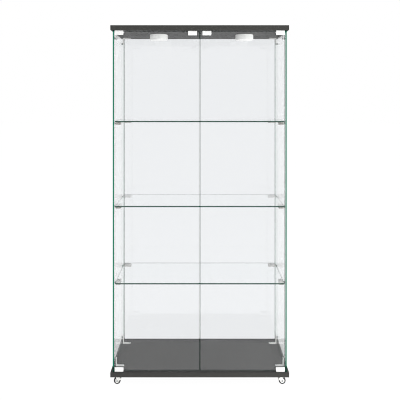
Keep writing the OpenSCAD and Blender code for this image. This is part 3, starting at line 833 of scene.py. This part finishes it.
def lathe(profile: Array, relief: Array, segments: int) -> Surface:
    """Turn a profile about +Z.

    With r and h the profile's radius and height and v the angle round the axis, a point is
    (r cos v, r sin v, h + relief). The profile runs upwards on its outside. An end on the
    axis closes in a pole, and a profile with neither end on the axis is a closed ring.

    Args:
        profile: radii and heights, one row a point.
        relief: the height that is added at each row and step.
        segments: how many steps round the axis.

    Returns:
        The closed surface.
    """
    rows = len(profile)
    angle = steps_round(segments)
    radius = profile[:, :1]
    height = profile[:, 1:] + relief
    points = np.stack([radius * np.cos(angle), radius * np.sin(angle), height], axis=-1)
    number = np.arange(rows * segments).reshape(rows, segments)
    poles = [row for row in (0, -1) if profile[row, 0] == 0]
    for row in poles:
        number[row] = number[row, 0]
    if not poles:
        number = np.concatenate([number, number[:1]])
    after = np.roll(number, -1, axis=1)
    quads = np.stack([number[:-1], after[:-1], after[1:], number[1:]], axis=-1).reshape(-1, 4)
    # Two corners of a quad at a pole are one point, and the pole's other points go unused.
    faces = [tuple(dict.fromkeys(quad)) for quad in quads.tolist()]
    used = sorted({i for face in faces for i in face})
    place = {old: new for new, old in enumerate(used)}
    faces = [tuple(place[i] for i in face) for face in faces]
    return Surface(points.reshape(-1, 3)[used], faces)


def steps_round(segments: int) -> Array:
    """Return the angles of even steps round an axis, as one row."""
    return np.linspace(0, 2 * math.pi, segments, endpoint=False)[None, :]


@dataclass(frozen=True)
class TurnedPiece:
    """A piece turned or moulded about an axis, which stands in for each solid of a node.

    Sizes are millimetres. The profile's height runs along the piece's own axis.
    """

    node: str
    finish: Finish
    segments: int = 32
    axis: Axis = Axis.Z

    def outline(self) -> Array:
        """Return the profile in metres."""
        raise NotImplementedError

    def relief(self, radius: Array, angle: Array) -> Array:
        """Return the height in metres that is added at each point of the turned grid."""
        return np.zeros(np.broadcast(radius, angle).shape)

    def flipped(self, low: Array, high: Array) -> bool:
        """Return True where the piece in the box from low to high lies against its axis."""
        return False

    def build(self) -> None:
        """Turn the form, and lay one in the box of each solid with its top at the box's end."""
        profile = self.outline()
        relief = self.relief(profile[:, :1], steps_round(self.segments))
        form = lathe(profile, relief, self.segments)
        top, end = profile[:, 1].max(), self.axis.value
        parts = []
        for low, high in solids(self.node):
            flip, place = self.flipped(low, high), (low + high) / 2
            place[end] = low[end] + top if flip else high[end] - top
            parts.append(form.laid(self.axis, flip, place))
        piece = Surface.joined(parts).to_object(f"{self.node}_turned", self.finish)
        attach(piece, body_of_node(self.node))
        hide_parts(self.node)
        LOG.info("%s: %d turned, %s", self.node, len(parts), self.finish.name)


@dataclass(frozen=True)
class HeadedPiece(TurnedPiece):
    """A shank under a domed head with a recess; height 0 is under the head."""

    head_r: float = 3.5
    head_h: float = 2.2
    head_side: float = 0.66
    shank_r: float = 2.0
    length: float = 10.2
    taper: float = 0.0
    recess_depth: float = 1.3
    recess_edge: float = 0.1
    rows_below: int = 4

    def outline(self) -> Array:
        """Draw the tip, the shank and the domed head.

        Returns:
            The profile in metres. The dome comes after its first rows_below rows.
        """
        return in_metres(
            [0, -self.length],
            [self.shank_r, self.taper - self.length],
            [self.shank_r, 0],
            [self.head_r, 0],
            dome(self.head_r, self.head_side, self.head_h, steps=14),
        )

    def recess(self, radius: Array, angle: Array) -> Array:
        """Return the recess, from 0 outside it to 1 at its full depth."""
        raise NotImplementedError

    def relief(self, radius: Array, angle: Array) -> Array:
        """Sink the recess into the dome, and leave the rows below it as they are."""
        domed = np.arange(len(radius))[:, None] >= self.rows_below
        return -MM * self.recess_depth * self.recess(radius / MM, angle) * domed

    def within(self, value: Array, half: float) -> Array:
        """Return 1 where the value is under half, with a soft edge, and 0 outside."""
        return 1 - eased(value, half - self.recess_edge, half + self.recess_edge)


@dataclass(frozen=True)
class PanScrew(HeadedPiece):
    """Pan-head wood screw with a cross recess."""

    shank_r: float = 1.6
    length: float = 15.0
    taper: float = 3.2
    cross_reach: float = 1.9
    cross_half: float = 0.42
    cross_rise: float = 0.5
    recess_depth: float = 1.2
    recess_edge: float = 0.12

    def recess(self, radius: Array, angle: Array) -> Array:
        """Shape a cross whose arms grow shallower outwards.

        It is deep where the nearer of |x| and |y| is small and the other is within reach.

        Args:
            radius: each row's radius, in millimetres.
            angle: each step's angle.

        Returns:
            The recess, from 0 outside it to 1 at its full depth.
        """
        x, y = np.abs(radius * np.cos(angle)), np.abs(radius * np.sin(angle))
        near, far = np.minimum(x, y), np.maximum(x, y)
        reach = self.cross_reach - self.recess_edge
        cross = self.within(near, self.cross_half) * self.within(far, reach)
        return cross * (1 - self.cross_rise * far / self.cross_reach)

    def flipped(self, low: Array, high: Array) -> bool:
        """Return False where the head stands on the base board, and True elsewhere."""
        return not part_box("base_board")[1].z < high[2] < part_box("top_board")[0].z


@dataclass(frozen=True)
class GlassBolt(HeadedPiece):
    """Domed bolt with a hexagon socket."""

    axis: Axis = Axis.X
    socket_half: float = 1.25

    def recess(self, radius: Array, angle: Array) -> Array:
        """Shape a hexagon: deep where the largest of r |cos(v - k 60)| is under half its width."""
        across = radius * np.cos(angle - np.radians([0, 60, 120])[:, None, None])
        return self.within(np.abs(across).max(axis=0), self.socket_half)

    def flipped(self, low: Array, high: Array) -> bool:
        """Return True at the right, so that the head faces the middle of the case."""
        return low[0] > 0


@dataclass(frozen=True)
class CapNut(TurnedPiece):
    """Flat round cap nut outside a pane; height 0 is the pane's inner face."""

    axis: Axis = Axis.X
    cap_r: float = 6.0
    cap_t: float = 2.5
    pane_t: float = 6.0
    spigot_r: float = 3.8
    spigot_gap: float = 0.2
    bore_r: float = 2.1
    floor_t: float = 1.2
    round_r: float = 0.8
    ring_r: float = 3.7
    ring_half: float = 0.4
    ring_floor_half: float = 0.1
    ring_depth: float = 0.2

    def outline(self) -> Array:
        """Draw the blind bore, the spigot, the flange and the ringed face.

        Returns:
            The profile in metres.
        """
        top = self.pane_t + self.cap_t
        return in_metres(
            [0, top - self.floor_t],
            [self.bore_r, top - self.floor_t],
            [self.bore_r, self.spigot_gap],
            [self.spigot_r, self.spigot_gap],
            [self.spigot_r, self.pane_t],
            [self.cap_r, self.pane_t],
            arc((self.cap_r - self.round_r, top - self.round_r), self.round_r, 0, 90, steps=6),
            [self.ring_r + self.ring_half, top],
            [self.ring_r + self.ring_floor_half, top - self.ring_depth],
            [self.ring_r - self.ring_floor_half, top - self.ring_depth],
            [self.ring_r - self.ring_half, top],
            [0, top],
        )

    def flipped(self, low: Array, high: Array) -> bool:
        """Return True at the left, so that the cap faces away from the case."""
        return low[0] < 0


@dataclass(frozen=True)
class ShelfPad(TurnedPiece):
    """Soft round pad with rolled edges; height 0 is its underside."""

    pad_r: float = 7.0
    pad_t: float = 0.8
    roll: float = 0.3

    def outline(self) -> Array:
        """Draw the flat underside, the rolled edges and the top.

        Returns:
            The profile in metres.
        """
        rim = self.pad_r - self.roll
        return in_metres(
            [0, 0],
            arc((rim, self.roll), self.roll, -90, 0, steps=4),
            arc((rim, self.pad_t - self.roll), self.roll, 0, 90, steps=4),
            [0, self.pad_t],
        )


@dataclass(frozen=True)
class LightShell(TurnedPiece):
    """Round shell of a push light; height 0 is its lower edge."""

    shell_r: float = 43.0
    inner_r: float = 40.8
    lip_r: float = 38.8
    lip_t: float = 1.2
    round_r: float = 3.0
    deck_low: float = 7.7
    deck_high: float = 9.7
    top: float = 25.7
    top_chamfer: float = 0.3
    seam: float = 20.8
    seam_half: float = 0.35
    seam_slope: float = 0.1
    seam_depth: float = 0.4

    def outline(self) -> Array:
        """Draw the deck's underside, the lip, the rounded wall with its seam, and the deck's top.

        Returns:
            The profile in metres.
        """
        seam_r = self.shell_r - self.seam_depth
        return in_metres(
            [0, self.deck_low],
            [self.inner_r, self.deck_low],
            [self.inner_r, self.lip_t],
            [self.lip_r, self.lip_t],
            [self.lip_r, 0],
            arc((self.shell_r - self.round_r, self.round_r), self.round_r, -90, 0, steps=12),
            [self.shell_r, self.seam - self.seam_half - self.seam_slope],
            [seam_r, self.seam - self.seam_half],
            [seam_r, self.seam + self.seam_half],
            [self.shell_r, self.seam + self.seam_half + self.seam_slope],
            [self.shell_r, self.top - self.top_chamfer],
            [self.shell_r - self.top_chamfer, self.top],
            [self.inner_r, self.top],
            [self.inner_r, self.deck_high],
            [0, self.deck_high],
        )


@dataclass(frozen=True)
class LightLens(TurnedPiece):
    """Push lens: a shallow dome with fine rings and a flange; height 0 is its lowest point."""

    rim_r: float = 38.5
    dome_r: float = 37.3
    dome_drop: float = 0.8
    dome_rows: int = 113
    flange_r: float = 40.5
    flange_low: float = 3.1
    flange_high: float = 4.6
    skin: float = 1.6
    hollow: float = 0.2
    shoulder: float = 1.2
    shoulder_from: float = -60
    ring_pitch: float = 2.0
    ring_depth: float = 0.12

    def outline(self) -> Array:
        """Draw the ringed dome, its shoulder and flange, and the hollow behind.

        The dome's height is drop (r / R)^2 plus depth (1 - cos(2 pi r / pitch)) / 2.

        Returns:
            The profile in metres.
        """
        radius = np.linspace(0, self.dome_r, self.dome_rows)
        rings = self.ring_depth * (1 - np.cos(2 * math.pi * radius / self.ring_pitch)) / 2
        face = np.stack([radius, self.dome_drop * (radius / self.dome_r) ** 2 + rings], axis=1)
        inner_r = self.rim_r - self.skin
        foot = (self.dome_r, self.dome_drop + self.shoulder)
        return in_metres(
            face,
            arc(foot, self.shoulder, self.shoulder_from, 0, steps=5),
            [self.rim_r, self.flange_low],
            [self.flange_r, self.flange_low],
            [self.flange_r, self.flange_high],
            [inner_r, self.flange_high],
            [inner_r, self.dome_drop + self.skin],
            [0, self.dome_drop + self.skin - self.hollow],
        )


@dataclass(frozen=True)
class Tyre(TurnedPiece):
    """Soft tyre with round shoulders and a parting line; height 0 is its middle."""

    axis: Axis = Axis.Y
    wheel_r: float = 15.5
    bore_r: float = 9.55
    half_w: float = 7.0
    shoulder: float = 2.2
    tread: float = 0.1
    line_half: float = 0.15

    def outline(self) -> Array:
        """Draw the closed section of the ring, from its inner edge outwards.

        Returns:
            The profile in metres.
        """
        tread_r = self.wheel_r - self.tread
        side = self.half_w - self.shoulder
        hub = tread_r - self.shoulder
        return in_metres(
            [self.bore_r, -self.half_w],
            arc((hub, -side), self.shoulder, -90, 0, steps=8),
            [tread_r, -2 * self.line_half],
            [self.wheel_r, -self.line_half],
            [self.wheel_r, self.line_half],
            [tread_r, 2 * self.line_half],
            arc((hub, side), self.shoulder, 0, 90, steps=8),
            [self.bore_r, self.half_w],
        )


@dataclass(frozen=True)
class RivetedAxle(TurnedPiece):
    """Axle with a peened head at both ends; height 0 is its middle."""

    axis: Axis = Axis.Y
    axle_r: float = 2.5
    half: float = 10.0
    head_r: float = 4.0
    head_h: float = 1.2
    head_side: float = 0.3

    def outline(self) -> Array:
        """Draw one domed head, the shank and the other head.

        Returns:
            The profile in metres.
        """
        top = dome(self.head_r, self.half + self.head_side, self.half + self.head_h, steps=8)
        return in_metres(
            top[::-1] * [1, -1],
            [self.head_r, -self.half],
            [self.axle_r, -self.half],
            [self.axle_r, self.half],
            [self.head_r, self.half],
            top,
        )


# ---------------- sub-assemblies


@dataclass
class Boards:
    """The top board and the base board."""

    edge_mm: float = 0.6

    def build(self) -> None:
        """Stand soft-edged boards in for the two nodes."""
        soften(BOARD, self.edge_mm, "base_board", "top_board", steps=3)


@dataclass
class GlassBox:
    """Every pane: sides, back, doors and shelves, by the way each one faces."""

    panes: tuple[tuple[FloatGlass, tuple[str, ...]], ...] = (
        (SIDE_GLASS, ("side_glass_left", "side_glass_right")),
        (BACK_GLASS, ("back_glass",)),
        (DOOR_GLASS, ("door_glass_left", "door_glass_right")),
        (SHELF_GLASS, ("lower_shelf", "middle_shelf", "upper_shelf")),
    )

    def build(self) -> None:
        """Give each pane the glass that faces its way."""
        for finish, nodes in self.panes:
            dress(finish, *nodes)


@dataclass
class Fittings:
    """Clamps, clips, brackets, supports and the catch: cast, moulded and turned pieces."""

    edge_mm: float = 0.4
    bracket_edge_mm: float = 0.5
    support_edge_mm: float = 0.6
    turned: tuple[TurnedPiece, ...] = (
        PanScrew("board_screws", ZINC),
        GlassBolt("glass_bolts", BOLT_CHROME, segments=48),
        CapNut("bolt_caps", BOLT_CHROME, segments=48),
        ShelfPad("shelf_pads", SILICONE),
    )

    def build(self) -> None:
        """Round the cast and moulded pieces, turn the fasteners, and dress the others."""
        clamps = (f"hinge_clamp_{side}_{end}" for side in SIDES for end in ("lower", "upper"))
        soften(ENAMEL, self.edge_mm, *clamps, *(f"strike_clip_{side}" for side in SIDES))
        soften(POWDER_COAT, self.bracket_edge_mm, "corner_brackets")
        for level in ("lower", "middle", "upper"):
            soften(SUPPORT_PLASTIC, self.support_edge_mm, f"{level}_shelf_supports")
        soften(BLACK_ABS, self.edge_mm, "catch_housings")
        dress(NYLON, "hinge_bushes", *(f"catch_plunger_{side}" for side in SIDES))
        dress(LINER, *(f"clamp_liners_{side}" for side in SIDES))
        dress(ZINC, *(f"{kind}_{side}" for kind in ("set_screws", "pivot_pins") for side in SIDES))
        dress(NICKEL, *(f"catch_magnet_{side}" for side in SIDES))
        for piece in self.turned:
            piece.build()


@dataclass
class PushLights:
    """The two round push lights under the top board."""

    segments: int = 128

    def build(self) -> None:
        """Dress the inner pieces and turn the shells and lenses."""
        dress(WHITE_ABS, "light_mounts")
        dress(SOLDER_MASK, "light_circuits")
        dress(CELL_SLEEVE, "light_batteries")
        for side in SIDES:
            LightShell(f"light_housing_{side}", WHITE_ABS, self.segments).build()
            LightLens(f"light_lens_{side}", DIFFUSER, self.segments).build()


@dataclass
class Casters:
    """The four swivel casters."""

    fork_edge_mm: float = 0.5
    hub_edge_mm: float = 0.2
    tyre_steps: int = 64

    def build(self) -> None:
        """Dress the plates, round the forks and hubs, and turn the axles and tyres."""
        dress(ZINC, "caster_plates")
        for place in (f"{end}_{side}" for end in ("front", "rear") for side in SIDES):
            soften(WHITE_ABS, self.fork_edge_mm, f"caster_fork_{place}")
            soften(WHITE_ABS, self.hub_edge_mm, f"caster_hub_{place}", steps=1)
            RivetedAxle(f"caster_axle_{place}", ZINC).build()
            Tyre(f"caster_tyre_{place}", TYRE_RUBBER, self.tyre_steps).build()


# ---------------- studio


@dataclass(frozen=True)
class Lamp:
    """A square soft lamp that faces the middle of the case and leaves no patch in its glass."""

    name: str
    place: tuple[float, float, float]
    width: float
    watts: float

    def hang(self) -> None:
        """Hang the lamp in its place."""
        data = bpy.data.lights.new(self.name, "AREA")
        data.size = self.width
        data.energy = self.watts
        lamp = linked(self.name, data)
        lamp.location = self.place
        lamp.visible_glossy = False
        lamp.visible_transmission = False
        low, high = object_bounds()
        aim = (low + high) / 2 - lamp.location
        lamp.rotation_euler = aim.to_track_quat("-Z", "Y").to_euler()


@dataclass
class Studio:
    """White floor and backdrop, soft lamps and the camera."""

    camera_distance: float = 2.499
    eye_height: float = 1.283
    lens_mm: float = 50.0
    sensor_mm: float = 36.0
    horizon_row: float = 102.3
    middle_column: float = 199.71
    frame_px: float = 400.0
    floor_half: float = 30.0
    floor_colour: str = "#fafaf9"
    floor_glow: float = 0.97
    floor_shadow_share: float = 0.08
    world_level: float = 0.42
    front_level: float = 0.8
    front_way: float = -0.5
    back_way: float = 0.2
    inner_level: float = 2.1
    straight_rays: tuple[str, ...] = ("Camera", "Transmission")
    filter_width: float = 1.0
    bounces: int = 24
    gloss_bounces: int = 8
    lamps: tuple[Lamp, ...] = (
        Lamp("key_lamp", (3.3, -1.2, 1.0), 1.8, 66.0),
        Lamp("fill_lamp", (-3.2, -1.5, 1.0), 1.8, 44.0),
        Lamp("top_lamp", (0.4, -1.2, 3.6), 2.2, 16.0),
        Lamp("low_lamp", (1.6, -2.2, 0.35), 0.8, 42.0),
    )

    def build(self) -> None:
        """Make the floor, the world, the lamps and the camera."""
        self.floor()
        self.world()
        for lamp in self.lamps:
            lamp.hang()
        self.camera()
        scene = bpy.context.scene
        scene.view_settings.view_transform = "Standard"
        scene.cycles.use_denoising = True
        scene.cycles.filter_width = self.filter_width
        scene.cycles.max_bounces = self.bounces
        scene.cycles.transmission_bounces = self.bounces
        scene.cycles.glossy_bounces = self.gloss_bounces
        scene.cycles.caustics_reflective = True
        scene.cycles.caustics_refractive = True
        LOG.info("studio: floor, world, lamps and camera")

    def floor(self) -> None:
        """Make a pale floor that the camera sees as white, with the shadow kept."""
        half = self.floor_half
        square = [(-half, -half, 0), (half, -half, 0), (half, half, 0), (-half, half, 0)]
        mesh = bpy.data.meshes.new("floor")
        mesh.from_pydata(square, [], [(0, 1, 2, 3)])
        floor = linked("floor", mesh)
        material = bpy.data.materials.new("pale_floor")
        tree = cleared(material)
        pale = add_node(tree, "BsdfDiffuse", {"Color": linear(self.floor_colour)})
        faint = add_node(tree, "BsdfDiffuse", {"Color": [self.floor_shadow_share] * 3 + [1.0]})
        glow = add_node(tree, "Emission", {"Color": WHITE, "Strength": self.floor_glow})
        white = add_node(tree, "AddShader", {0: faint, 1: glow})
        gloss = add_node(tree, "LightPath", output="Is Glossy Ray")
        direct = {0: self.straight(tree), 1: gloss}
        seen = add_node(tree, "Math", direct, operation="MAXIMUM")
        shown = add_node(tree, "MixShader", {0: seen, 1: pale, 2: white})
        add_node(tree, "OutputMaterial", {"Surface": shown})
        mesh.materials.append(material)
        floor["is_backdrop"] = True

    def straight(self, tree: NodeTree) -> NodeSocket:
        """Return 1 for what is seen directly or through glass, and 0 for all other light."""
        paths = (add_node(tree, "LightPath", output=f"Is {ray} Ray") for ray in self.straight_rays)
        return add_node(tree, "Math", dict(enumerate(paths)), operation="MAXIMUM")

    def world(self) -> None:
        """Light everything evenly, and show white behind the case and in its glass.

        A mirrored ray sees white behind the case and front_level in front of it. A ray that
        leaves a surface and then passes a pane sees inner_level, because the lamps' own light
        is left out of what the panes let through.
        """
        world = bpy.data.worlds.new("studio")
        bpy.context.scene.world = world
        tree = cleared(world)
        way = add_node(tree, "TexCoord", output="Generated")
        back = add_node(tree, "SeparateXYZ", {0: way}, "Y")
        room = {"Value": back, "From Min": self.front_way, "From Max": self.back_way}
        mirrored = add_node(tree, "MapRange", room | {"To Min": self.front_level, "To Max": 1.0})
        gloss = add_node(tree, "LightPath", output="Is Glossy Ray")
        around = {"Value": gloss, "To Min": self.world_level, "To Max": mirrored}
        depth = add_node(tree, "LightPath", output="Diffuse Depth")
        inner = {"Value": depth, "To Min": 1.0, "To Max": self.inner_level}
        level = {
            "Value": self.straight(tree),
            "To Min": add_node(tree, "MapRange", around),
            "To Max": add_node(tree, "MapRange", inner),
        }
        strength = add_node(tree, "MapRange", level)
        light = add_node(tree, "Background", {"Color": WHITE, "Strength": strength})
        add_node(tree, "OutputWorld", {"Surface": light})

    def camera(self) -> None:
        """Stand a level camera square to the case, with the frame shifted down."""
        data = bpy.data.cameras.new("camera")
        data.lens = self.lens_mm
        data.sensor_width = self.sensor_mm
        data.sensor_fit = "HORIZONTAL"
        middle = self.frame_px / 2
        data.shift_x = (middle - self.middle_column) / self.frame_px
        data.shift_y = (self.horizon_row - middle) / self.frame_px
        camera = linked("camera", data)
        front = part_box("base_board")[0].y
        camera.location = (0.0, front - self.camera_distance, self.eye_height)
        camera.rotation_euler = (math.radians(90), 0, 0)
        bpy.context.scene.camera = camera


def main() -> None:
    """Build and dress the case, then set it in the studio."""
    logging.basicConfig(level=logging.INFO, format="%(name)s: %(message)s", force=True)
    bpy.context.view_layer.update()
    Studio().build()
    for assembly in (Boards(), GlassBox(), Fittings(), PushLights(), Casters()):
        assembly.build()


if __name__ == "__main__":
    main()
